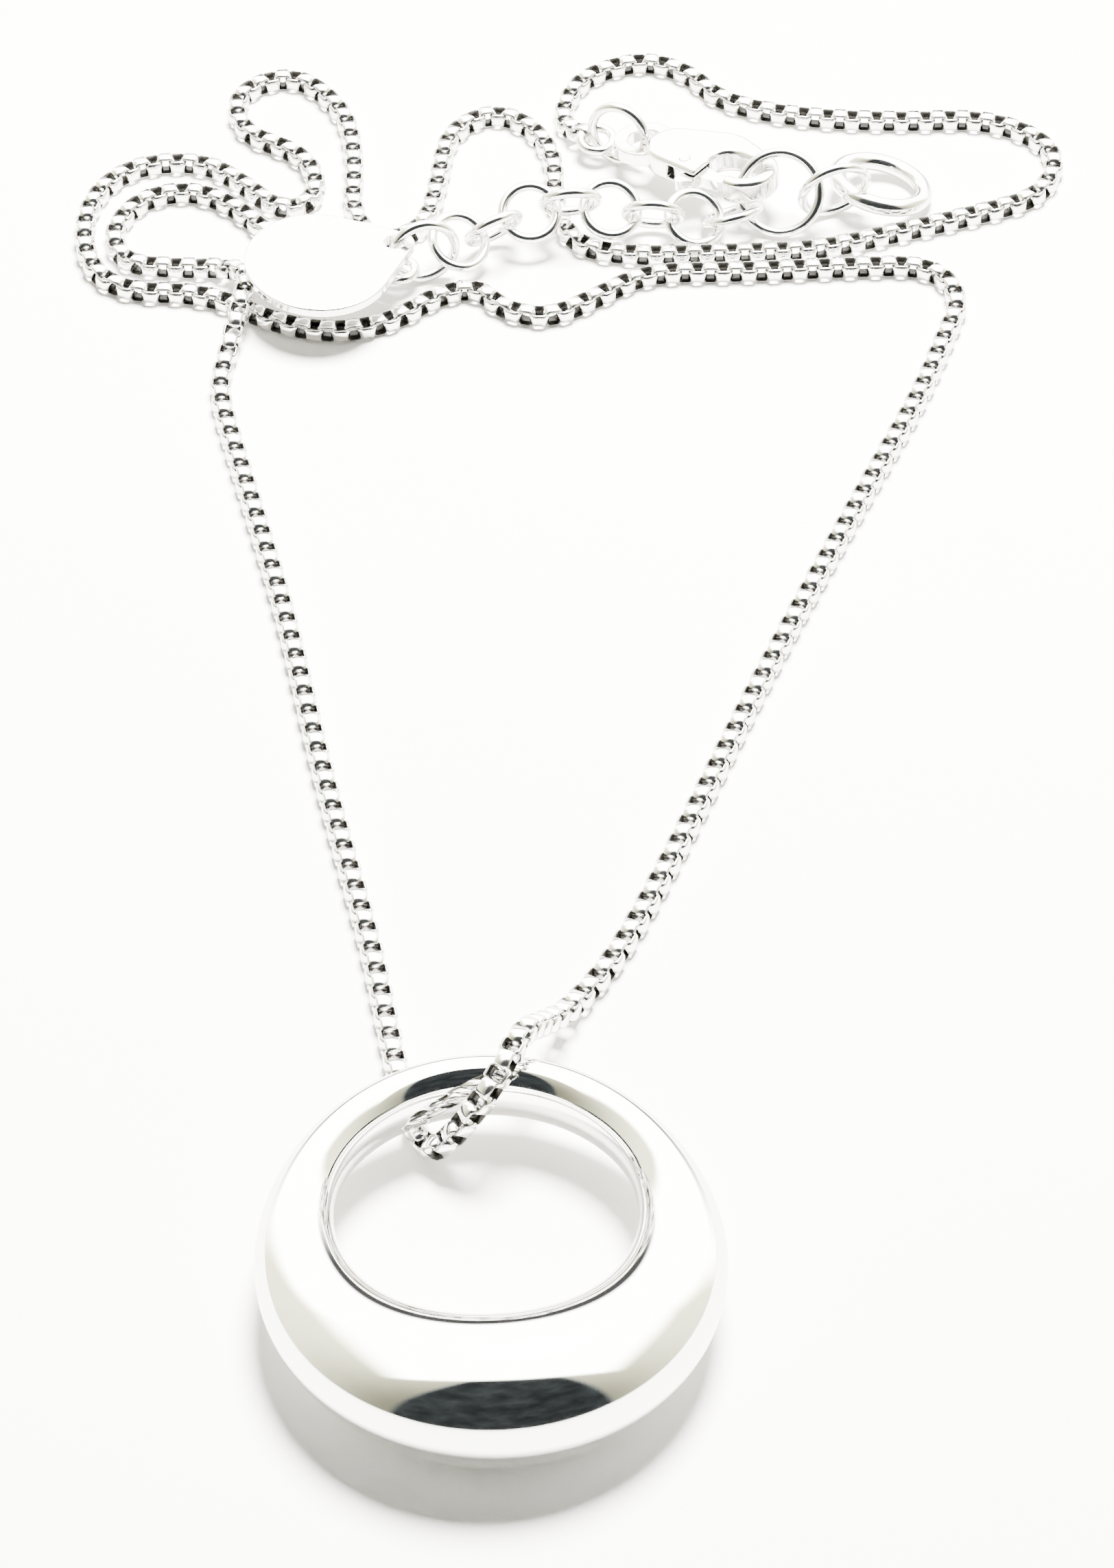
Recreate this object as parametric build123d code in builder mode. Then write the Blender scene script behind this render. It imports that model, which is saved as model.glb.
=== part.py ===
"""Open circle pendant on a fine box chain, lying loose as in the photograph.

Millimetres, +Z up. The surface is Z = 0 and the origin is the centre of the
pendant's round opening, on that surface. +Y runs from the pendant to the
gathered chain, +X is to the right.
"""
from build123d import *
import os
from math import acos, cos, pi, radians, sin, sqrt, tan

os.makedirs("parts", exist_ok=True)

# Pendant: a ring of oval section, thin where the chain passes and full opposite.
OPENING_D = 14.3
THIN_WIDTH = 2.36
THIN_HEIGHT = 3.5
FULL_WIDTH = 7.24
FULL_HEIGHT = 6.6
WIDTH_GROWTH = 2.05
HEIGHT_GROWTH = 5.0
PENDANT_TURN = 5.4
SECTION_STEP = 22.5

# Box chain, seen from outside as a round cord of the same width.
CHAIN_D = 1.2
BEND_SHARE = 0.45

# Clearances.
REST_GAP = 0.02
CHAIN_OVER_CHAIN_GAP = 0.18
RING_ABOVE_FLOOR_GAP = 0.05
TAG_ABOVE_CHAIN_GAP = 0.1
CHAIN_UNDER_THIN_GAP = 0.13
PIN_IN_BODY_GAP = 0.02
PIN_IN_LEVER_GAP = 0.04
LEVER_SIDE_GAP = 0.1
LEVER_TIP_GAP = 0.12

# Small rings: radius to the wire's centre, and the wire's radius.
END_RING_R = 1.0
SMALL_WIRE_R = 0.3
CLASP_RING_R = 1.8
TAG_RING_R = 1.9
TAG_RING_PLACE = (-4.61, 77.1)
TAG_RING_BEARING = 196.3
END_RING_LEVEL = 1.22
LINK_R = 1.65
HOOK_RING_R = 2.42
HOOK_WIRE_R = 0.3
JOINING_RING_R = 2.05
LAST_RING_R = 2.7
LAST_WIRE_R = 0.55

# Way of the extender from the tag's ring, each step from one ring's centre to the
# next: bearing from +X and climb in degrees, and the slack between the two rings.
LINK_WAY = [
    (30.2, -3.6, 0.56), (32.4, 0.0, 0.27), (22.7, 12.1, 0.26), (12.9, 8.3, 0.20),
    (1.6, -12.9, 0.20), (-0.5, -8.3, 0.11), (7.7, -12.0, 0.11), (16.7, -6.7, 0.30),
]
LINK_ROLLS = [-35, 55, -35, 55, -35, 55, -34, 30]
HOOK_WAY = (14.5, 20.7, 0.26)
HOOK_LEAN = (-0.190, -0.793, 0.579)
JOINING_WAY = (5.9, -0.5, 0.53)
JOINING_ROLL = 73
LAST_WAY = (34.6, -16.1, 0.20)
LAST_LEAN = (0.21, 0.10, 1.0)

# Lobster clasp, measured from the centre of its eye towards its nose.
EYE_OUTER_R = 1.9
EYE_HOLE_R = 1.05
EYE_THICKNESS = 0.9
BODY_THICKNESS = 1.6
BODY_ROUNDING = 0.35
TAIL_AT, TAIL_R = (2.4, 0.1), 1.9
BELLY_AT, BELLY_R = (5.1, 0.4), 2.5
NOSE_AT, NOSE_R = (7.6, 0.0), 2.05
CLAW_REAR_AT, CLAW_REAR_R = (6.4, -0.1), 1.2
CLAW_FRONT_AT, CLAW_FRONT_R = (7.6, -0.1), 1.1
MOUTH_REAR, MOUTH_FRONT = 5.25, 7.3
PIN_AT, PIN_R = (3.9, -1.1), 0.3
LEVER_THICKNESS = 0.7
LEVER_EYE_R = 0.75
LEVER_TIP_R = 0.35
LEVER_TIP_DROP = 1.48
THUMB_ROOT_AT, THUMB_ROOT_R = (4.9, -2.0), 0.5
THUMB_END_AT, THUMB_END_R = (4.6, -2.6), 0.35
CLASP_BEARING = -37.0
CLASP_CLIMB = 6.0
HOOK_RING_IN_CLASP = (9.86, 0.35, -0.63)
CLASP_RING_BEARING = 153.4
CLASP_RING_ROLL = 84.4
CLASP_END_LEAN = (0.04, -0.21, 1.0)
CLASP_END_WAY = (155.6, -29.6)
CLASP_END_SLACK = 0.13

# Blank tag: a nearly round plate drawn out to a small eye.
TAG_THICKNESS = 0.6
TAG_HALF_LENGTH = 4.3
TAG_HALF_WIDTH = 4.85
TAG_EYE_TO_CENTRE = 4.9
TAG_EYE_R = 1.15
TAG_HOLE_R = 0.7
TAG_BEARING = 203.0
TAG_EDGE = 0.12

CHAIN_R = CHAIN_D / 2
FLOOR = CHAIN_R + REST_GAP
OVER = FLOOR + CHAIN_D + CHAIN_OVER_CHAIN_GAP
MEETING_PLACE = (26.1, 70.6, FLOOR)

# Routes of the chain's centre line. The pile runs from the clasp's end ring through
# the gathered turns. The strands run on from there through the pendant and back to
# the tag's end ring. The two meet face to face. Every point is a chosen place.
PILE_ROUTE = [
    (4.6, 91.1, 1.15), (3.8, 91.9, FLOOR), (3.7, 94.4, FLOOR), (5.0, 97.8, FLOOR),
    (8.7, 99.7, FLOOR), (11.7, 98.2, FLOOR), (13.5, 95.1, FLOOR), (17.8, 93.4, FLOOR),
    (24.2, 92.8, FLOOR), (30.6, 93.2, FLOOR), (34.4, 89.8, FLOOR), (33.2, 85.0, FLOOR),
    (28.6, 82.9, FLOOR), (23.6, 81.1, FLOOR), (19.2, 79.4, FLOOR), (13.5, 79.1, FLOOR),
    (8.2, 78.8, FLOOR), (4.4, 79.7, FLOOR), (3.1, 84.0, FLOOR), (3.2, 89.0, FLOOR),
    (1.6, 92.6, FLOOR), (-1.0, 93.9, FLOOR), (-3.5, 91.4, FLOOR), (-3.9, 86.5, FLOOR),
    (-4.6, 81.6, FLOOR), (-7.4, 80.0, FLOOR), (-9.2, 82.9, FLOOR), (-9.1, 88.6, FLOOR),
    (-9.9, 94.0, FLOOR), (-13.2, 98.2, FLOOR), (-16.9, 96.0, FLOOR), (-16.4, 91.6, FLOOR),
    (-12.4, 89.4, FLOOR), (-11.2, 85.9, FLOOR), (-12.1, 83.7, FLOOR), (-13.9, 83.7, FLOOR),
    (-15.8, 86.1, FLOOR), (-18.5, 88.6, FLOOR), (-22.8, 88.2, FLOOR), (-25.3, 84.5, FLOOR),
    (-25.2, 78.6, FLOOR), (-22.8, 75.2, FLOOR), (-17.4, 75.1, FLOOR), (-13.6, 72.3, FLOOR),
    (-10.0, 71.2, FLOOR), (-6.6, 72.1, FLOOR), (-3.8, 74.9, FLOOR), (-1.4, 75.7, FLOOR),
    (0.2, 73.4, FLOOR), (2.9, 72.6, FLOOR), (5.8, 74.8, FLOOR), (8.8, 77.2, FLOOR),
    (14.0, 77.2, FLOOR), (20.6, 77.7, FLOOR), (25.8, 77.9, FLOOR), (27.4, 74.6, FLOOR),
    MEETING_PLACE,
]
STRAND_ROUTE = [
    MEETING_PLACE,
    (24.4, 65.4, FLOOR), (21.4, 58.2, FLOOR), (17.9, 49.6, FLOOR), (14.5, 41.0, FLOOR),
    (11.5, 32.8, FLOOR), (8.7, 25.2, FLOOR), (6.3, 19.4, FLOOR), (4.1, 15.9, FLOOR),
    (2.7, 12.6, 2.9), (1.6, 9.0, 6.2), (0.3, 6.1, 5.3), (-2.4, 5.6, 1.15),
    (-3.4, 7.1, FLOOR), (-4.5, 11.2, FLOOR), (-5.2, 15.2, FLOOR), (-6.2, 20.8, FLOOR),
    (-7.8, 27.6, FLOOR), (-9.5, 35.4, FLOOR), (-11.3, 44.8, FLOOR), (-13.1, 52.4, FLOOR),
    (-15.1, 60.4, FLOOR), (-16.4, 65.8, FLOOR), (-15.9, 69.6, FLOOR), (-15.3, 72.2, OVER),
    (-14.9, 75.2, OVER), (-16.4, 77.6, FLOOR), (-19.6, 77.6, FLOOR), (-22.6, 78.0, FLOOR),
    (-23.7, 81.0, FLOOR), (-22.2, 84.6, FLOOR), (-19.0, 85.6, FLOOR), (-16.2, 83.8, FLOOR),
    (-14.2, 81.0, FLOOR), (-11.2, 79.0, FLOOR), (-7.6, 77.2, 1.2),
]


def bend_radii(points):
    """Largest equal-share radius at each inner point of a route."""
    radii = []
    for before, here, after in zip(points, points[1:], points[2:]):
        back = Vector(*before) - Vector(*here)
        ahead = Vector(*after) - Vector(*here)
        turn = pi - acos(back.normalized().dot(ahead.normalized()))
        radii.append(BEND_SHARE * min(back.length, ahead.length) / tan(turn / 2))
    return radii


def heading(bearing, climb):
    """Unit direction from a bearing and a climb in degrees."""
    level = cos(radians(climb))
    return Vector(level * cos(radians(bearing)), level * sin(radians(bearing)), sin(radians(climb)))


def stride(way, first_r, first_wire, second_r, second_wire):
    """Step from the centre of a ring to the centre of the ring linked with it."""
    bearing, climb, slack = way
    return heading(bearing, climb) * (first_r + second_r - first_wire - second_wire - slack)


def rolled_plane(centre, direction, roll):
    """Plane of a ring that lies along a direction, rolled about it from level."""
    side = Vector(0, 0, 1).cross(direction).normalized()
    up = direction.cross(side)
    normal = up * cos(radians(roll)) + side * sin(radians(roll))
    return Plane(origin=centre, z_dir=normal)


def report_tube(name, part, wire, radii):
    """Print a tube's bends, and its volume beside section times length."""
    section = pi * CHAIN_R**2
    print(name, "bends", [round(radius, 1) for radius in radii])
    print(name, "length", round(wire.length, 1), "volume", round(part.volume, 1))
    print(name, "section times length", round(section * wire.length, 1))


# Pendant ring
# The thin side is lifted by one chain, which passes beneath it.
opening_r = OPENING_D / 2
thin_lift = REST_GAP + CHAIN_D + CHAIN_UNDER_THIN_GAP
full_reach = opening_r + FULL_WIDTH / 2
thin_reach = opening_r + THIN_WIDTH / 2


def section_plane(angle):
    """Upright plane, half width and half height of the ring's section."""
    fullness = (1 - sin(radians(angle))) / 2
    width = THIN_WIDTH + (FULL_WIDTH - THIN_WIDTH) * fullness**WIDTH_GROWTH
    height = THIN_HEIGHT + (FULL_HEIGHT - THIN_HEIGHT) * fullness**HEIGHT_GROWTH
    out = opening_r + width / 2
    along = (out * sin(radians(angle)) + full_reach) / (full_reach + thin_reach)
    level = FULL_HEIGHT / 2 + (thin_lift + THIN_HEIGHT / 2 - FULL_HEIGHT / 2) * along
    radial = heading(angle + PENDANT_TURN, 0)
    centre = radial * out + Vector(0, 0, level)
    return Plane(origin=centre, x_dir=radial, z_dir=radial.cross(Vector(0, 0, 1))), width / 2, height / 2


symmetry = Plane(origin=(0, 0, 0), x_dir=heading(90 + PENDANT_TURN, 0), z_dir=heading(PENDANT_TURN, 0))
with BuildPart() as pendant_ring:
    for step in range(-5, 6):
        plane, half_width, half_height = section_plane(step * SECTION_STEP)
        with BuildSketch(plane):
            Ellipse(half_width, half_height)
    loft()
    split(bisect_by=symmetry, keep=Keep.TOP)
    mirror(about=symmetry)
pendant_ring.part.label = "pendant_ring"
export_step(pendant_ring.part, "parts/pendant_ring.step")

# Chain, in two lengths
pile_radii = bend_radii(PILE_ROUTE)
with BuildPart() as chain_pile:
    with BuildLine() as pile_line:
        FilletPolyline(*PILE_ROUTE, radius=pile_radii)
    with BuildSketch(Plane(origin=pile_line.line @ 0, z_dir=pile_line.line % 0)):
        Circle(CHAIN_R)
    sweep()
chain_pile.part.label = "chain_pile"
export_step(chain_pile.part, "parts/chain_pile.step")
report_tube("chain_pile", chain_pile.part, pile_line.wire(), pile_radii)

strand_radii = bend_radii(STRAND_ROUTE)
with BuildPart() as chain_strands:
    with BuildLine() as strand_line:
        FilletPolyline(*STRAND_ROUTE, radius=strand_radii)
    with BuildSketch(Plane(origin=strand_line.line @ 0, z_dir=strand_line.line % 0)):
        Circle(CHAIN_R)
    sweep()
chain_strands.part.label = "chain_strands"
export_step(chain_strands.part, "parts/chain_strands.step")
report_tube("chain_strands", chain_strands.part, strand_line.wire(), strand_radii)

# Tag end: end ring, jump ring and the blank tag
tag_ring_level = TAG_RING_R + SMALL_WIRE_R + RING_ABOVE_FLOOR_GAP
tag_side = heading(TAG_RING_BEARING, 0)
tag_ring_centre = Vector(*TAG_RING_PLACE, tag_ring_level)
tag_ring_plane = Plane(origin=tag_ring_centre, z_dir=tag_side.cross(Vector(0, 0, 1)))
end_ring_out = sqrt(TAG_RING_R**2 - (tag_ring_level - END_RING_LEVEL) ** 2)
end_ring_centre = Vector(*TAG_RING_PLACE, END_RING_LEVEL)
end_ring_centre = end_ring_centre + tag_side * end_ring_out
with BuildPart(Plane(origin=end_ring_centre)) as end_ring_tag:
    Torus(END_RING_R, SMALL_WIRE_R)
end_ring_tag.part.label = "end_ring_tag"
export_step(end_ring_tag.part, "parts/end_ring_tag.step")

with BuildPart(tag_ring_plane) as jump_ring_tag:
    Torus(TAG_RING_R, SMALL_WIRE_R)
jump_ring_tag.part.label = "jump_ring_tag"
export_step(jump_ring_tag.part, "parts/jump_ring_tag.step")

tag_level = OVER + CHAIN_R + TAG_ABOVE_CHAIN_GAP
tag_middle = tag_level + TAG_THICKNESS / 2
tag_out = sqrt(TAG_RING_R**2 - (tag_ring_level - tag_middle) ** 2)
tag_hole = Vector(*TAG_RING_PLACE, tag_level) + tag_side * tag_out
tag_plane = Plane(origin=tag_hole, x_dir=heading(TAG_BEARING, 0), z_dir=(0, 0, 1))
with BuildPart() as tag:
    with BuildSketch(tag_plane):
        with Locations((TAG_EYE_TO_CENTRE, 0)):
            Ellipse(TAG_HALF_LENGTH, TAG_HALF_WIDTH)
        Circle(TAG_EYE_R)
        make_hull()
    extrude(amount=TAG_THICKNESS)
    fillet(tag.edges().filter_by(GeomType.LINE, reverse=True), TAG_EDGE)
    with BuildSketch(tag_plane):
        Circle(TAG_HOLE_R)
    extrude(amount=TAG_THICKNESS, mode=Mode.SUBTRACT)
tag.part.label = "tag"
export_step(tag.part, "parts/tag.step")

# Extender of round links, each lying half rolled against the next
link_centres = [tag_ring_centre]
for number, way in enumerate(LINK_WAY):
    ring_r = LINK_R if number else TAG_RING_R
    step = stride(way, ring_r, SMALL_WIRE_R, LINK_R, SMALL_WIRE_R)
    link_centres.append(link_centres[-1] + step)
hook_step = stride(HOOK_WAY, LINK_R, SMALL_WIRE_R, HOOK_RING_R, HOOK_WIRE_R)
hook_centre = link_centres[-1] + hook_step
link_centres.append(hook_centre)

for number, roll in enumerate(LINK_ROLLS, start=1):
    link_direction = (link_centres[number + 1] - link_centres[number - 1]).normalized()
    with BuildPart(rolled_plane(link_centres[number], link_direction, roll)) as extender_link:
        Torus(LINK_R, SMALL_WIRE_R)
    extender_link.part.label = f"extender_link_{number}"
    export_step(extender_link.part, f"parts/extender_link_{number}.step")

with BuildPart(Plane(origin=hook_centre, z_dir=HOOK_LEAN)) as hook_ring:
    Torus(HOOK_RING_R, HOOK_WIRE_R)
hook_ring.part.label = "hook_ring"
export_step(hook_ring.part, "parts/hook_ring.step")

joining_step = stride(JOINING_WAY, HOOK_RING_R, HOOK_WIRE_R, JOINING_RING_R, SMALL_WIRE_R)
joining_centre = hook_centre + joining_step
last_step = stride(LAST_WAY, JOINING_RING_R, SMALL_WIRE_R, LAST_RING_R, LAST_WIRE_R)
last_centre = joining_centre + last_step
joining_direction = (last_centre - hook_centre).normalized()
with BuildPart(rolled_plane(joining_centre, joining_direction, JOINING_ROLL)) as joining_ring:
    Torus(JOINING_RING_R, SMALL_WIRE_R)
joining_ring.part.label = "joining_ring"
export_step(joining_ring.part, "parts/joining_ring.step")

with BuildPart(Plane(origin=last_centre, z_dir=LAST_LEAN)) as last_ring:
    Torus(LAST_RING_R, LAST_WIRE_R)
last_ring.part.label = "last_ring"
export_step(last_ring.part, "parts/last_ring.step")

# Lobster clasp, its nose lifted by the hook ring
nose_way = heading(CLASP_BEARING, CLASP_CLIMB)
spine_way = heading(CLASP_BEARING + 90, 0)
clasp_up = nose_way.cross(spine_way)
along, across, above = HOOK_RING_IN_CLASP
eye_centre = hook_centre - nose_way * along - spine_way * across - clasp_up * above
clasp_plane = Plane(origin=eye_centre, x_dir=nose_way, z_dir=clasp_up)
clasp_axis = Axis(clasp_plane.origin, clasp_up)
slot_width = LEVER_THICKNESS + 2 * LEVER_SIDE_GAP
lever_tip_at = (MOUTH_FRONT - LEVER_TIP_GAP - LEVER_TIP_R, -LEVER_TIP_DROP)
with BuildPart() as clasp_body:
    with BuildSketch(clasp_plane):
        with Locations(TAIL_AT):
            Circle(TAIL_R)
        with Locations(BELLY_AT):
            Circle(BELLY_R)
        with Locations(NOSE_AT):
            Circle(NOSE_R)
        make_hull()
    extrude(amount=BODY_THICKNESS / 2, both=True)
    with BuildSketch(clasp_plane):
        with Locations(CLAW_REAR_AT):
            Circle(CLAW_REAR_R)
        with Locations(CLAW_FRONT_AT):
            Circle(CLAW_FRONT_R)
        make_hull()
    extrude(amount=BODY_THICKNESS / 2, both=True, mode=Mode.SUBTRACT)
    fillet(clasp_body.faces().sort_by(clasp_axis)[-1].edges(), BODY_ROUNDING)
    fillet(clasp_body.faces().sort_by(clasp_axis)[0].edges(), BODY_ROUNDING)
    with BuildSketch(clasp_plane):
        with Locations((MOUTH_REAR, CLAW_FRONT_AT[1])):
            Rectangle(MOUTH_FRONT - MOUTH_REAR, 2 * BELLY_R, align=(Align.MIN, Align.MAX))
    extrude(amount=BODY_THICKNESS / 2, both=True, mode=Mode.SUBTRACT)
    with BuildSketch(clasp_plane):
        with Locations((PIN_AT[0] - LEVER_EYE_R - LEVER_TIP_GAP, PIN_AT[1] + LEVER_EYE_R + LEVER_TIP_GAP)):
            Rectangle(NOSE_R + MOUTH_REAR - PIN_AT[0], 2 * BELLY_R, align=(Align.MIN, Align.MAX))
    extrude(amount=slot_width / 2, both=True, mode=Mode.SUBTRACT)
    with BuildSketch(clasp_plane):
        with Locations(PIN_AT):
            Circle(PIN_R + PIN_IN_BODY_GAP)
    extrude(amount=BODY_THICKNESS / 2, both=True, mode=Mode.SUBTRACT)
    with BuildSketch(clasp_plane):
        Circle(EYE_OUTER_R)
        Circle(EYE_HOLE_R, mode=Mode.SUBTRACT)
    extrude(amount=EYE_THICKNESS / 2, both=True)
clasp_body.part.label = "clasp_body"
export_step(clasp_body.part, "parts/clasp_body.step")

with BuildPart() as clasp_pin:
    with BuildSketch(clasp_plane):
        with Locations(PIN_AT):
            Circle(PIN_R)
    extrude(amount=BODY_THICKNESS / 2, both=True)
clasp_pin.part.label = "clasp_pin"
export_step(clasp_pin.part, "parts/clasp_pin.step")

with BuildPart() as clasp_lever:
    with BuildSketch(clasp_plane):
        with Locations(PIN_AT):
            Circle(LEVER_EYE_R)
        with Locations(lever_tip_at):
            Circle(LEVER_TIP_R)
        make_hull()
    with BuildSketch(clasp_plane):
        with Locations(THUMB_ROOT_AT):
            Circle(THUMB_ROOT_R)
        with Locations(THUMB_END_AT):
            Circle(THUMB_END_R)
        make_hull()
    extrude(amount=LEVER_THICKNESS / 2, both=True)
    with BuildSketch(clasp_plane):
        with Locations(PIN_AT):
            Circle(PIN_R + PIN_IN_LEVER_GAP)
    extrude(amount=LEVER_THICKNESS / 2, both=True, mode=Mode.SUBTRACT)
clasp_lever.part.label = "clasp_lever"
export_step(clasp_lever.part, "parts/clasp_lever.step")
pin_centre = clasp_plane.from_local_coords(Vector(*PIN_AT, 0))
print("lever hinge at", tuple(pin_centre), "axis", tuple(clasp_up))

# Clasp end: jump ring through the eye, and the chain's end ring
clasp_ring_level = CLASP_RING_R + SMALL_WIRE_R + RING_ABOVE_FLOOR_GAP
clasp_ring_way = heading(CLASP_RING_BEARING, 0)
eye_reach = sqrt(CLASP_RING_R**2 - (clasp_ring_level - eye_centre.Z) ** 2)
clasp_ring_centre = Vector(eye_centre.X, eye_centre.Y, clasp_ring_level) + clasp_ring_way * eye_reach
with BuildPart(rolled_plane(clasp_ring_centre, clasp_ring_way, CLASP_RING_ROLL)) as jump_ring_clasp:
    Torus(CLASP_RING_R, SMALL_WIRE_R)
jump_ring_clasp.part.label = "jump_ring_clasp"
export_step(jump_ring_clasp.part, "parts/jump_ring_clasp.step")

clasp_end_centre = clasp_ring_centre + heading(*CLASP_END_WAY) * (CLASP_RING_R - CLASP_END_SLACK)
with BuildPart(Plane(origin=clasp_end_centre, z_dir=CLASP_END_LEAN)) as end_ring_clasp:
    Torus(END_RING_R, SMALL_WIRE_R)
end_ring_clasp.part.label = "end_ring_clasp"
export_step(end_ring_clasp.part, "parts/end_ring_clasp.step")
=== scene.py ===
"""An open circle pendant on a fine box chain, lying loose on a pale surface."""

import math

import bmesh
import bpy
import numpy as np
from mathutils import Matrix, Vector


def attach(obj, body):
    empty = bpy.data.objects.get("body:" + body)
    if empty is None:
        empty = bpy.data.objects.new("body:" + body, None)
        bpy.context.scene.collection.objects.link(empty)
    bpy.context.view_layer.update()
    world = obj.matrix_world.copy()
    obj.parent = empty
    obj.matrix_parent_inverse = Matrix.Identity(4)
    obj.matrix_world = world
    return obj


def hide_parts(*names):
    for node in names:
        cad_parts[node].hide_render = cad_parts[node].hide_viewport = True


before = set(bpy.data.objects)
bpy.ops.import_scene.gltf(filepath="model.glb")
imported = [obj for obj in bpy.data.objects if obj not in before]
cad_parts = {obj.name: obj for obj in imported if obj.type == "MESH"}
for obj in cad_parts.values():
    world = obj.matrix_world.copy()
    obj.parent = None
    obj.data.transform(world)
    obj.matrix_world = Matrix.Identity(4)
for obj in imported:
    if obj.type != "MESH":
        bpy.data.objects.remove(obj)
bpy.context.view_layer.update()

MM = 0.001
QUARTER = math.pi / 2

# Camera, at the photograph's angle: its picture is 2285 high and it sees 6575 to the middle
camera_data = bpy.data.cameras.new("camera")
camera_data.lens = camera_data.sensor_width * 6575 / 2285
camera_data.clip_start = 0.01
camera = bpy.data.objects.new("camera", camera_data)
bpy.context.scene.collection.objects.link(camera)
camera.location = (0.003324, -0.141138, 0.162358)
camera.rotation_euler = (math.radians(47), 0, 0)
bpy.context.scene.camera = camera

# Chain's route: level on the surface, and level where it crosses over itself
FLOOR = 0.00062
OVER = 0.002
MEETING_PLACE = (0.0261, 0.0706, FLOOR)
PILE_ROUTE = [
    (0.00504, 0.09068, 0.00122), (0.0038, 0.0919, FLOOR), (0.0037, 0.0944, FLOOR),
    (0.005, 0.0978, FLOOR), (0.0087, 0.0997, FLOOR), (0.0117, 0.0982, FLOOR),
    (0.0135, 0.0951, FLOOR), (0.0178, 0.0934, FLOOR), (0.0242, 0.0928, FLOOR),
    (0.0306, 0.0932, FLOOR), (0.0344, 0.0898, FLOOR), (0.0332, 0.085, FLOOR),
    (0.0286, 0.0829, FLOOR), (0.0236, 0.0811, FLOOR), (0.0192, 0.0794, FLOOR),
    (0.0135, 0.0791, FLOOR), (0.0082, 0.0788, FLOOR), (0.0044, 0.0797, FLOOR),
    (0.0031, 0.084, FLOOR), (0.0032, 0.089, FLOOR), (0.0016, 0.0926, FLOOR),
    (-0.001, 0.0939, FLOOR), (-0.0035, 0.0914, FLOOR), (-0.0039, 0.0865, FLOOR),
    (-0.0046, 0.0816, FLOOR), (-0.0074, 0.08, FLOOR), (-0.0092, 0.0829, FLOOR),
    (-0.0091, 0.0886, FLOOR), (-0.0099, 0.094, FLOOR), (-0.0132, 0.0982, FLOOR),
    (-0.0169, 0.096, FLOOR), (-0.0164, 0.0916, FLOOR), (-0.0124, 0.0894, FLOOR),
    (-0.0112, 0.0859, FLOOR), (-0.0121, 0.0837, FLOOR), (-0.0139, 0.0837, FLOOR),
    (-0.0158, 0.0861, FLOOR), (-0.0185, 0.0886, FLOOR), (-0.0228, 0.0882, FLOOR),
    (-0.0253, 0.0845, FLOOR), (-0.0252, 0.0786, FLOOR), (-0.0228, 0.0752, FLOOR),
    (-0.0174, 0.0751, FLOOR), (-0.0136, 0.0723, FLOOR), (-0.01, 0.0712, FLOOR),
    (-0.0066, 0.0721, FLOOR), (-0.0038, 0.0749, FLOOR), (-0.0014, 0.0757, FLOOR),
    (0.0002, 0.0734, FLOOR), (0.0029, 0.0726, FLOOR), (0.0058, 0.0748, FLOOR),
    (0.0088, 0.0772, FLOOR), (0.014, 0.0772, FLOOR), (0.0206, 0.0777, FLOOR),
    (0.0258, 0.0779, FLOOR), (0.0274, 0.0746, FLOOR), MEETING_PLACE,
]
STRAND_ROUTE = [
    MEETING_PLACE, (0.0244, 0.0654, FLOOR), (0.0214, 0.0582, FLOOR), (0.0179, 0.0496, FLOOR),
    (0.0145, 0.041, FLOOR), (0.0115, 0.0328, FLOOR), (0.0087, 0.0252, FLOOR),
    (0.0063, 0.0194, FLOOR), (0.0041, 0.0159, FLOOR), (0.0027, 0.0126, 0.0029),
    (0.0016, 0.009, 0.0062), (0.0003, 0.0061, 0.0053), (-0.0024, 0.0056, 0.00115),
    (-0.0034, 0.0071, FLOOR), (-0.0045, 0.0112, FLOOR), (-0.0052, 0.0152, FLOOR),
    (-0.0062, 0.0208, FLOOR), (-0.0078, 0.0276, FLOOR), (-0.0095, 0.0354, FLOOR),
    (-0.0113, 0.0448, FLOOR), (-0.0131, 0.0524, FLOOR), (-0.0151, 0.0604, FLOOR),
    (-0.0164, 0.0658, FLOOR), (-0.0159, 0.0696, FLOOR), (-0.0153, 0.0722, OVER),
    (-0.0149, 0.0752, OVER), (-0.0164, 0.0776, FLOOR), (-0.0196, 0.0776, FLOOR),
    (-0.0226, 0.078, FLOOR), (-0.0237, 0.081, FLOOR), (-0.0222, 0.0846, FLOOR),
    (-0.019, 0.0856, FLOOR), (-0.0162, 0.0838, FLOOR), (-0.0142, 0.081, FLOOR),
    (-0.0112, 0.079, FLOOR), (-0.00713, 0.07702, 0.00121),
]

# Box chain link
LINKS = 536
PITCH = 0.765 * MM
STRIP_THICKNESS = 0.16 * MM
STRIP_WIDTH = 0.81 * MM
LINK_HEIGHT = 1.18 * MM
LINK_LENGTH = PITCH + 2 * STRIP_THICKNESS + 0.015 * MM
LINK_CORNER = 0.24 * MM
STRIP_EDGE = 0.1 * MM

# How the links lie: a slight lean that changes along the chain and fades at its ends
LEAN = math.radians(2.5)
LEAN_SWING = math.radians(2.5)
SWING_LENGTH = 7 * MM
FADE_LENGTH = 6 * MM
LEVELLING = 0.4
STEEP = 0.4

# Pendant
OPENING_R = 7.15 * MM
THIN_WIDTH = 2.36 * MM
THIN_HEIGHT = 3.5 * MM
FULL_WIDTH = 7.24 * MM
FULL_HEIGHT = 6.6 * MM
THIN_LIFT = 1.35 * MM
WIDTH_GROWTH = 2.05
HEIGHT_GROWTH = 5
PENDANT_TURN = math.radians(5.4)

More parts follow.
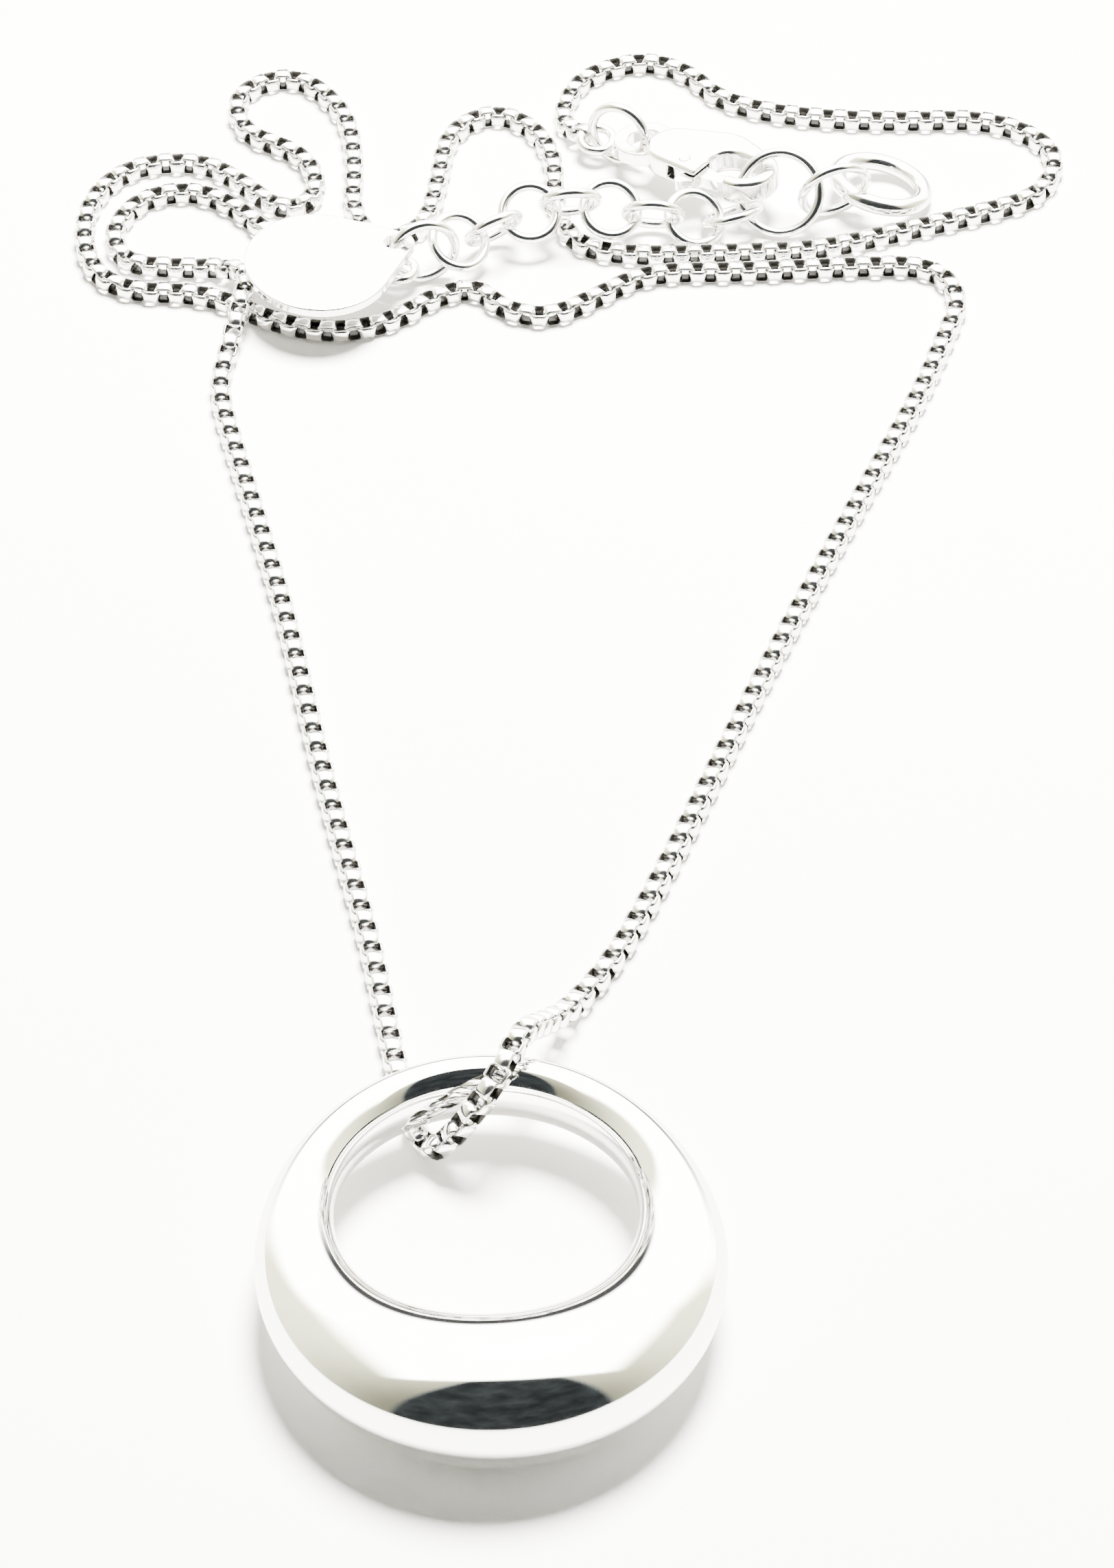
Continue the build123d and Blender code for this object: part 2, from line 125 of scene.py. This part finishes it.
# Rings and clasp
RINGS = ("end_ring_clasp", "end_ring_tag", "joining_ring", "last_ring", "hook_ring")
EXTENDER_LINKS = 8
JUMP_RINGS = ("jump_ring_clasp", "jump_ring_tag")
SEAM = 0.02
CAST_GRAIN = 0.065 * MM

# Studio: a white panel overhead and behind, grey sides, a dark opening in front, a soft lamp
PANEL_LEVEL = 17.0
PANEL_SHIFT = 0.12
SIDE_NEAR_LEVEL = 0.4
SIDE_FAR_LEVEL = 3.4
OPENING_LEVEL = 0.07
HORIZON_LEVEL = 0.12
FILL_SHARE = 0.014
LAMP_PLACE = (0.03, 0.135, 0.275)
LAMP_AIM = (0.002, 0.04, 0)
LAMP_SIZE = 0.12
LAMP_POWER = 15


class Tone:
    """A value, vector or colour on its way through the nodes of a finish."""

    def __init__(self, finish, socket):
        self.finish = finish
        self.socket = socket

    def __add__(self, other):
        return self.finish.sum_of("ADD", self, other)

    def __sub__(self, other):
        return self.finish.sum_of("SUBTRACT", self, other)

    def __mul__(self, other):
        return self.finish.sum_of("MULTIPLY", self, other)

    def __pow__(self, other):
        return self.finish.sum_of("POWER", self, other)

    def __radd__(self, other):
        return self.finish.sum_of("ADD", other, self)

    def __rsub__(self, other):
        return self.finish.sum_of("SUBTRACT", other, self)

    def __rmul__(self, other):
        return self.finish.sum_of("MULTIPLY", other, self)



class Finish:
    """The nodes of one material, or of the studio round the necklace."""

    def __init__(self, holder):
        self.holder = holder
        holder.use_nodes = True
        self.tree = holder.node_tree
        self.tree.nodes.clear()

    def node(self, kind, settings=None, values=None, out=0):
        made = self.tree.nodes.new(kind)
        for name, value in (settings or {}).items():
            setattr(made, name, value)
        for name, value in (values or {}).items():
            if isinstance(value, Tone):
                self.tree.links.new(value.socket, made.inputs[name])
            else:
                made.inputs[name].default_value = value
        return Tone(self, made.outputs[out]) if made.outputs else made

    def sum_of(self, operation, first, second):
        return self.node("ShaderNodeMath", {"operation": operation}, {0: first, 1: second})

    def between(self, value, low, high):
        """0 below low, 1 above high, and an even curve between them."""
        return self.node(
            "ShaderNodeMapRange",
            {"interpolation_type": "SMOOTHSTEP"},
            {"Value": value, "From Min": low, "From Max": high},
        )

    def blend(self, share, first, second):
        return self.node(
            "ShaderNodeMix",
            {"data_type": "RGBA"},
            {"Factor": share, 6: first, 7: second},
            out=2,
        )

    def place(self, scale=(1, 1, 1)):
        """Place on the piece, in metres, stretched by scale."""
        here = self.node("ShaderNodeTexCoord", out=3)
        return self.node("ShaderNodeMapping", None, {"Vector": here, "Scale": scale})

    def cloud(self, place, scale, detail=2, roughness=0.5):
        return self.node(
            "ShaderNodeTexNoise",
            None,
            {"Vector": place, "Scale": scale, "Detail": detail, "Roughness": roughness},
        )

    def end(self, shader, kind="ShaderNodeOutputMaterial"):
        self.node(kind, None, {"Surface": shader})
        return self.holder


def polished_silver(name, bright, shade, roughness, scratch_depth, dulling):
    """Polished silver: faintly cloudy, with hairline scratches from wear."""
    finish = Finish(bpy.data.materials.new(name))
    here = finish.place()
    haze = finish.cloud(here, 900, detail=3)
    streaks_along = finish.cloud(finish.place((400, 9000, 2500)), 1, detail=1)
    streaks_across = finish.cloud(finish.place((8000, 600, 2500)), 1, detail=1)
    streaks = streaks_along + streaks_across
    colour = finish.blend(finish.between(haze, 0.35, 0.75), bright, shade)
    bump = finish.node(
        "ShaderNodeBump",
        None,
        {"Strength": scratch_depth, "Distance": 0.01 * MM, "Height": streaks},
    )
    shader = finish.node(
        "ShaderNodeBsdfPrincipled",
        None,
        {
            "Base Color": colour,
            "Metallic": 1.0,
            "Roughness": roughness + haze * dulling,
            "Normal": bump,
        },
    )
    return finish.end(shader)


pendant_polish = polished_silver(
    "pendant_polish", (0.95, 0.945, 0.93, 1), (0.91, 0.905, 0.885, 1), 0.03, 0.03, 0.04
)
wire_polish = polished_silver(
    "wire_polish", (0.93, 0.92, 0.90, 1), (0.84, 0.83, 0.80, 1), 0.07, 0.06, 0.1
)
sheet_polish = polished_silver(
    "sheet_polish", (0.94, 0.93, 0.91, 1), (0.88, 0.87, 0.845, 1), 0.08, 0.1, 0.12
)
cast_polish = polished_silver(
    "cast_polish", (0.93, 0.92, 0.90, 1), (0.86, 0.85, 0.82, 1), 0.08, 0.08, 0.12
)


def chain_polish_finish():
    """The box links' polish, with painted shade: the faces in the folds of each link are
    coloured nearly black where shadow falls.
    """
    finish = Finish(bpy.data.materials.new("chain_polish"))
    haze = finish.cloud(finish.place(), 1500, detail=2)
    painted_shade_inside = finish.node("ShaderNodeAttribute", {"attribute_name": "painted_shade_inside"}, out=2)
    worn = finish.blend(haze, (0.94, 0.93, 0.91, 1), (0.86, 0.85, 0.83, 1))
    # Painted shade: the fold faces get a near-black colour in place of the shadow between the
    # strips.
    colour = finish.blend(painted_shade_inside, worn, (0.02, 0.019, 0.017, 1))
    bump = finish.node(
        "ShaderNodeBump",
        None,
        {"Strength": 0.15, "Distance": 0.01 * MM, "Height": haze},
    )
    shader = finish.node(
        "ShaderNodeBsdfPrincipled",
        None,
        {
            "Base Color": colour,
            "Metallic": 1.0,
            "Roughness": 0.1 + haze * 0.08 + painted_shade_inside * 0.25,
            "Normal": bump,
        },
    )
    return finish.end(shader)


chain_polish = chain_polish_finish()


def piece(name, bm, finish, body="necklace", stands_for=()):
    """A finished mesh as a piece of the necklace."""
    mesh = bpy.data.meshes.new(name)
    for face in bm.faces:
        face.smooth = True
    bm.to_mesh(mesh)
    bm.free()
    mesh.materials.append(finish)
    made = bpy.data.objects.new(name, mesh)
    bpy.context.scene.collection.objects.link(made)
    if body:
        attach(made, body)
    if stands_for:
        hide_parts(*stands_for)
    return made


def route_line(points):
    """Closely spaced points of the smooth curve that the route's points steer."""
    curve = bpy.data.curves.new("chain_route", "CURVE")
    curve.dimensions = "3D"
    curve.resolution_u = 32
    spline = curve.splines.new("NURBS")
    spline.points.add(len(points) - 1)
    for place, point in zip(spline.points, points):
        place.co = (*point, 1)
    spline.order_u = 3
    spline.use_endpoint_u = True
    holder = bpy.data.objects.new("chain_route", curve)
    bpy.context.scene.collection.objects.link(holder)
    mesh = bpy.data.meshes.new_from_object(holder)
    line = np.array([vertex.co[:] for vertex in mesh.vertices])
    bpy.data.objects.remove(holder)
    bpy.data.meshes.remove(mesh)
    bpy.data.curves.remove(curve)
    return line


def box_link():
    """One folded link: its loop lies in x and z, and its strip's width along y."""
    bm = bmesh.new()
    painted_shade_inside = bm.verts.layers.float.new("painted_shade_inside")
    bmesh.ops.create_cube(bm, size=1)
    bmesh.ops.scale(bm, vec=(LINK_LENGTH, STRIP_WIDTH, LINK_HEIGHT), verts=bm.verts)
    folds = [e for e in bm.edges if abs(e.verts[0].co.y - e.verts[1].co.y) > STRIP_WIDTH / 2]
    bmesh.ops.bevel(
        bm, geom=folds, offset=LINK_CORNER, segments=1, profile=0.5,
        affect="EDGES", material=-1,
    )
    bm.normal_update()
    ends = [face for face in bm.faces if abs(face.normal.y) > 0.9]
    bmesh.ops.inset_region(bm, faces=ends, thickness=STRIP_THICKNESS, use_even_offset=True)
    rims = [edge for face in ends for edge in face.edges]
    # The faces in each fold are marked here for the painted shade that the chain's finish
    # gives them.
    for vertex in {v for edge in rims for v in edge.verts}:
        vertex[painted_shade_inside] = 1
    bmesh.ops.delete(bm, geom=ends, context="FACES_ONLY")
    bmesh.ops.bridge_loops(bm, edges=rims)
    bm.normal_update()
    outer = [
        edge for edge in bm.edges
        if len(edge.link_faces) == 2
        and not any(v[painted_shade_inside] for v in edge.verts)
        and sorted(abs(face.normal.y) > 0.9 for face in edge.link_faces) == [False, True]
    ]
    bmesh.ops.bevel(
        bm, geom=outer, offset=STRIP_EDGE, segments=1, profile=0.5,
        affect="EDGES", material=-1,
    )
    bmesh.ops.recalc_face_normals(bm, faces=bm.faces)
    mesh = bpy.data.meshes.new("box_link")
    bm.to_mesh(mesh)
    bm.free()
    return mesh


def link_places(line):
    """Middle and three directions of each link along the line: ahead, across and up.

    The chain carries its own twist along, and where it isn't steep each link turns
    part of the way back to lying flat on one of its four sides.
    """
    steps = np.linalg.norm(np.diff(line, axis=0), axis=1)
    reach = np.concatenate([[0], np.cumsum(steps)])
    middles = np.linspace(0, reach[-1], LINKS)

    def at(distance):
        return Vector([np.interp(distance, reach, line[:, axis]) for axis in range(3)])

    def lean_at(distance):
        fade = min(1, distance / FADE_LENGTH, (reach[-1] - distance) / FADE_LENGTH)
        return fade * (LEAN + LEAN_SWING * math.sin(distance / SWING_LENGTH))

    places = []
    up = Vector((0, 0, 1))
    before = None
    for middle in middles:
        ahead = (at(middle + PITCH / 2) - at(middle - PITCH / 2)).normalized()
        if before is not None:
            up = before.rotation_difference(ahead) @ up
        up = (up - ahead * up.dot(ahead)).normalized()
        level = Vector((0, 0, 1)) - ahead * ahead.z
        if level.length > STEEP:
            turn = math.atan2(up.cross(level).dot(ahead), up.dot(level)) + lean_at(middle)
            turn = (turn + QUARTER / 2) % QUARTER - QUARTER / 2
            up = Matrix.Rotation(turn * LEVELLING, 3, ahead) @ up
        places.append((at(middle), ahead, up.cross(ahead), up.copy()))
        before = ahead
    return places


def box_chain(name, places, link, first, stands_for):
    """A length of chain: every second link is turned a quarter round."""
    bm = bmesh.new()
    bm.verts.layers.float.new("painted_shade_inside")
    for number, (middle, ahead, across, up) in enumerate(places, first):
        if number % 2:
            across, up = up, -across
        seat = Matrix((ahead, across, up)).transposed().to_4x4()
        seat.translation = middle
        bm.verts.ensure_lookup_table()
        already = len(bm.verts)
        bm.from_mesh(link)
        bm.verts.ensure_lookup_table()
        bmesh.ops.transform(bm, matrix=seat, verts=bm.verts[already:])
    return piece(name, bm, chain_polish, stands_for=(stands_for,))


route = PILE_ROUTE + STRAND_ROUTE[1:]
places = link_places(route_line(route))
meeting = min(range(len(places)), key=lambda n: (places[n][0] - Vector(MEETING_PLACE)).length)
link = box_link()
box_chain("pile_links", places[:meeting], link, 0, "chain_pile")
box_chain("strand_links", places[meeting:], link, meeting, "chain_strands")


def pendant_section(angle):
    """How far out and how high the band's middle is, and its half width and height."""
    fullness = (1 - math.sin(angle)) / 2
    width = THIN_WIDTH + (FULL_WIDTH - THIN_WIDTH) * fullness**WIDTH_GROWTH
    height = THIN_HEIGHT + (FULL_HEIGHT - THIN_HEIGHT) * fullness**HEIGHT_GROWTH
    out = OPENING_R + width / 2
    full_reach = OPENING_R + FULL_WIDTH / 2
    thin_reach = OPENING_R + THIN_WIDTH / 2
    along = (out * math.sin(angle) + full_reach) / (full_reach + thin_reach)
    level = FULL_HEIGHT / 2 + (THIN_LIFT + THIN_HEIGHT / 2 - FULL_HEIGHT / 2) * along
    return out, level, width / 2, height / 2


def ring_mesh(radius, wire, around=48, across=14, angle=math.tau):
    """A ring of round wire, level round the origin; a ring with a seam stops short."""
    bm = bmesh.new()
    bmesh.ops.create_circle(bm, segments=across, radius=wire)
    bmesh.ops.rotate(bm, verts=bm.verts, matrix=Matrix.Rotation(QUARTER, 3, "X"))
    bmesh.ops.translate(bm, verts=bm.verts, vec=(radius, 0, 0))
    closed = angle == math.tau
    start = bm.edges[:]
    made = bmesh.ops.spin(
        bm, geom=bm.verts[:] + start, cent=(0, 0, 0), axis=(0, 0, 1),
        angle=angle, steps=around, use_merge=closed,
    )
    if not closed:
        last = [e for e in made["geom_last"] if isinstance(e, bmesh.types.BMEdge)]
        bmesh.ops.edgeloop_fill(bm, edges=start)
        bmesh.ops.edgeloop_fill(bm, edges=last)
    bmesh.ops.recalc_face_normals(bm, faces=bm.faces)
    return bm


def pendant():
    bm = ring_mesh(3, 1, around=240, across=64)
    for vertex in bm.verts:
        angle = math.atan2(vertex.co.y, vertex.co.x)
        outwards = math.hypot(vertex.co.x, vertex.co.y) - 3
        out, level, half_width, half_height = pendant_section(angle)
        radius = out + outwards * half_width
        vertex.co = (
            radius * math.cos(angle + PENDANT_TURN),
            radius * math.sin(angle + PENDANT_TURN),
            level + vertex.co.z * half_height,
        )
    return piece("pendant", bm, pendant_polish, stands_for=("pendant_ring",))


pendant()


def wire_ring(node, around=56, across=16, seam=0):
    """A ring of wire where the CAD ring is, of the same size and lean."""
    points = np.array([vertex.co[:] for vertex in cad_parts[node].data.vertices])
    centre = (points.max(axis=0) + points.min(axis=0)) / 2
    spread = np.linalg.svd(points - centre, full_matrices=False)[2]
    axis = Vector(spread[2])
    if axis.z < 0:
        axis.negate()
    level = (points - centre) @ np.array(axis)
    flat = np.linalg.norm(points - centre - np.outer(level, axis), axis=1)
    radius, wire = (flat.max() + flat.min()) / 2, (flat.max() - flat.min()) / 2
    bm = ring_mesh(radius, wire, around, across, math.tau - seam)
    seat = axis.to_track_quat("Z", "Y").to_matrix().to_4x4()
    seat.translation = Vector(centre)
    bmesh.ops.transform(bm, matrix=seat, verts=bm.verts)
    return piece(node + "_wire", bm, wire_polish, stands_for=(node,))


for node in RINGS:
    wire_ring(node)
for number in range(1, EXTENDER_LINKS + 1):
    wire_ring(f"extender_link_{number}")
for node in JUMP_RINGS:
    wire_ring(node, seam=SEAM)


def cast_body(node):
    """The clasp's body with its edges rounded as a casting's are after polishing."""
    bm = bmesh.new()
    bm.from_mesh(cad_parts[node].data)
    bmesh.ops.remove_doubles(bm, verts=bm.verts, dist=0.001 * MM)
    made = piece(node + "_cast", bm, cast_polish, stands_for=(node,))
    remesh = made.modifiers.new("even", "REMESH")
    remesh.mode = "VOXEL"
    remesh.voxel_size = CAST_GRAIN
    remesh.use_smooth_shade = True
    soften = made.modifiers.new("soften", "SMOOTH")
    soften.factor = 0.5
    soften.iterations = 5
    bpy.context.view_layer.update()
    rounded = bpy.data.meshes.new_from_object(
        made.evaluated_get(bpy.context.evaluated_depsgraph_get())
    )
    made.modifiers.clear()
    made.data = rounded
    return made


cast_body("clasp_body")

for node, finish in (
    ("tag", sheet_polish),
    ("clasp_pin", cast_polish),
    ("clasp_lever", cast_polish),
):
    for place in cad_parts[node].material_slots:
        place.material = finish


def surface_finish():
    """A plain pale surface with a fine matt grain."""
    finish = Finish(bpy.data.materials.new("pale_surface"))
    here = finish.place()
    tone = finish.cloud(here, 60, detail=2)
    colour = finish.blend(tone, (0.87, 0.865, 0.835, 1), (0.85, 0.845, 0.815, 1))
    grain = finish.cloud(here, 1200, detail=4)
    bump = finish.node(
        "ShaderNodeBump", None, {"Strength": 0.05, "Distance": 0.02 * MM, "Height": grain}
    )
    shader = finish.node(
        "ShaderNodeBsdfPrincipled",
        None,
        {"Base Color": colour, "Roughness": 0.7, "Specular IOR Level": 0.1, "Normal": bump},
    )
    return finish.end(shader)


floor_mesh = bmesh.new()
bmesh.ops.create_grid(floor_mesh, x_segments=1, y_segments=1, size=1.5)
piece("surface", floor_mesh, surface_finish(), body=None)


def studio():
    """Light by the way it comes: east, north and height of a direction are -1 to 1.

    The panel fills the ways that are more overhead or northern than they are aside, the
    opening is a dark span in the south, and the horizon a dark line low in the north.
    Only a share of this light reaches matt surfaces, which the lamp lights instead.
    """
    world = bpy.data.worlds.new("studio")
    bpy.context.scene.world = world
    finish = Finish(world)
    way = finish.node("ShaderNodeTexCoord", out=0)
    east = finish.node("ShaderNodeSeparateXYZ", None, {"Vector": way}, out=0)
    north = finish.node("ShaderNodeSeparateXYZ", None, {"Vector": way}, out=1)
    height = finish.node("ShaderNodeSeparateXYZ", None, {"Vector": way}, out=2)
    aside = finish.node("ShaderNodeMath", {"operation": "ABSOLUTE"}, {0: east - PANEL_SHIFT})
    panel_reach = finish.node(
        "ShaderNodeMath", {"operation": "MAXIMUM"}, {0: height * 0.8, 1: north * 1.1}
    )
    panel = finish.between(panel_reach - aside, -0.3, 0.1)
    panel = panel * finish.between(north, -0.29, -0.21)
    opening = finish.between(0 - north, 0.24, 0.29)
    opening = opening * (1 - finish.between(aside + north * 1.15, -0.07, 0.05))
    side = SIDE_NEAR_LEVEL + SIDE_FAR_LEVEL * finish.between(north, -0.75, 0.45)
    shadow = OPENING_LEVEL * (0.3 + 2.2 * finish.cloud(way, 5, detail=3) ** 2)
    level = side * (1 - panel) + PANEL_LEVEL * panel
    level = level * (1 - opening) + shadow * opening
    horizon = (1 - finish.between(height, 0.14, 0.27)) * finish.between(north, 0.6, 0.95)
    level = level * (1 - horizon) + HORIZON_LEVEL * horizon
    lighting = finish.node("ShaderNodeLightPath", out=2)
    level = level * (1 - (1 - FILL_SHARE) * lighting)
    tint = finish.blend(panel, (1, 0.985, 0.68, 1), (1, 1, 0.96, 1))
    tint = finish.blend(opening, tint, (0.85, 0.97, 1, 1))
    tint = finish.blend(lighting, tint, (1, 0.95, 0.8, 1))
    shader = finish.node("ShaderNodeBackground", None, {"Color": tint, "Strength": level})
    finish.end(shader, "ShaderNodeOutputWorld")


studio()

lamp_data = bpy.data.lights.new("soft_lamp", "AREA")
lamp_data.shape = "DISK"
lamp_data.color = (1, 0.99, 0.96)
lamp_data.size = LAMP_SIZE
lamp_data.energy = LAMP_POWER
lamp = bpy.data.objects.new("soft_lamp", lamp_data)
bpy.context.scene.collection.objects.link(lamp)
lamp.location = LAMP_PLACE
lamp.rotation_euler = (Vector(LAMP_AIM) - lamp.location).to_track_quat("-Z", "Y").to_euler()
